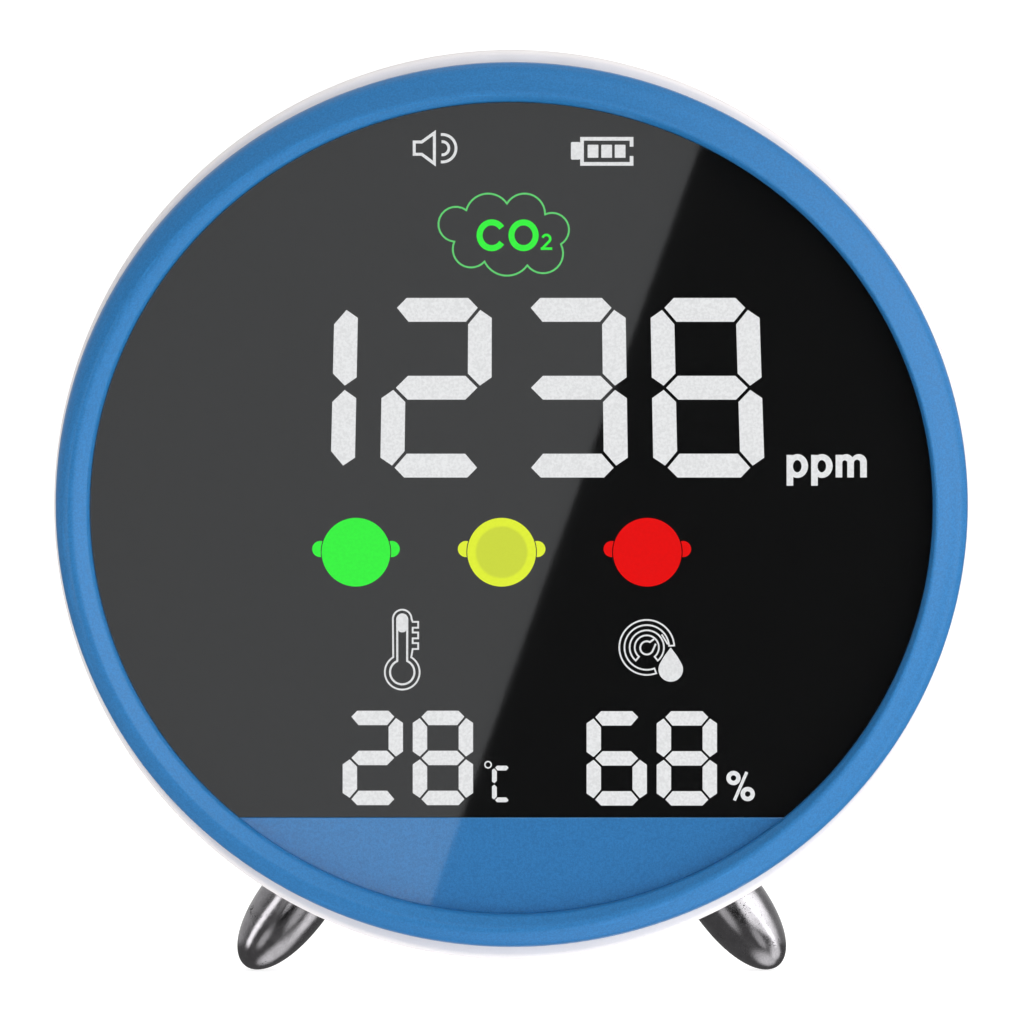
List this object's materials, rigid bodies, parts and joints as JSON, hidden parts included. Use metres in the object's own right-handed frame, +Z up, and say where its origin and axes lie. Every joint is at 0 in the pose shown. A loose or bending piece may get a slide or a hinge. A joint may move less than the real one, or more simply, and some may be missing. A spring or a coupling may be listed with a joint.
{
  "type": "carbon dioxide monitor",
  "caption": "Round desktop carbon dioxide monitor with a blue bezel, lit black display, white casing, vents and buttons at the back, and splayed metal feet.",
  "frame": {"origin": "bottom centre of the bounding box, on the table the monitor stands on", "axes": "+Z up, the display faces -Y and leans back by 5 degrees, +X to the right as seen from the front"},
  "size_m": [0.1, 0.0456, 0.1009],
  "materials": {
    "blue_plastic": "satin with a fine grain",
    "white_plastic": "satin",
    "clear_window": "polished clear",
    "black_film": "smooth printed film",
    "white_light": "frosted, lit from behind",
    "green_light": "frosted, lit from behind",
    "yellow_light": "frosted, lit from behind",
    "red_light": "frosted, lit from behind",
    "nickel": "polished, slightly pitted",
    "steel": "zinc plated",
    "gold_can": "satin plating",
    "rubber": "matte",
    "circuit_board": "solder mask",
    "black_plastic": "matte",
    "cream_plastic": "satin",
    "black_fabric": "woven",
    "filter_paper": "matte membrane",
    "label": "satin, blank",
    "battery_foil": "foil pouch",
    "red_sleeve": "soft insulation",
    "black_sleeve": "soft insulation"
  },
  "bodies": {
    "case": {"front_bezel": "blue_plastic", "lens": "clear_window", "display_film": "black_film", "co2_readout": "white_light", "temperature_readout": "white_light", "humidity_readout": "white_light", "indicator_green": "green_light", "indicator_yellow": "yellow_light", "indicator_red": "red_light", "led_module": "black_plastic", "display_board": "circuit_board", "display_screw_1": "steel", "display_screw_2": "steel", "display_screw_3": "steel", "display_screw_4": "steel", "display_ribbon": "cream_plastic", "housing": "white_plastic", "foot_left": "nickel", "foot_right": "nickel", "foot_washer_left": "steel", "foot_washer_right": "steel", "foot_screw_left": "steel", "foot_screw_right": "steel", "rear_pad": "rubber", "rear_cover": "white_plastic", "rating_label": "label", "cover_screw_1": "steel", "cover_screw_2": "steel", "cover_screw_3": "steel", "cover_screw_4": "steel", "power_switch": "black_plastic", "mode_switch": "black_plastic", "sound_switch": "black_plastic", "main_board": "circuit_board", "board_screw_1": "steel", "board_screw_2": "steel", "board_screw_3": "steel", "co2_sensor": "gold_can", "sensor_filter": "filter_paper", "dust_mesh": "black_fabric", "humidity_sensor": "black_plastic", "controller_chip": "black_plastic", "sounder": "black_plastic", "sounder_gasket": "rubber", "usb_socket": "steel", "usb_tongue": "black_plastic", "battery": "battery_foil", "battery_tape": "black_fabric", "battery_plug": "cream_plastic", "battery_lead_red": "red_sleeve", "battery_lead_black": "black_sleeve"},
    "power_key": {"power_button": "white_plastic", "power_plunger": "cream_plastic"},
    "mode_key": {"mode_button": "white_plastic", "mode_plunger": "cream_plastic"},
    "sound_key": {"sound_button": "white_plastic", "sound_plunger": "cream_plastic"}
  },
  "joints": [
    {"name": "power_press", "type": "slide", "parent": "case", "child": "power_key", "axis": [0, -0.9962, 0.0872], "range_m": [0, 0.0005], "stiffness_N_per_m": 800},
    {"name": "mode_press", "type": "slide", "parent": "case", "child": "mode_key", "axis": [0, -0.9962, 0.0872], "range_m": [0, 0.0005], "stiffness_N_per_m": 800},
    {"name": "sound_press", "type": "slide", "parent": "case", "child": "sound_key", "axis": [0, -0.9962, 0.0872], "range_m": [0, 0.0005], "stiffness_N_per_m": 800}
  ]
}
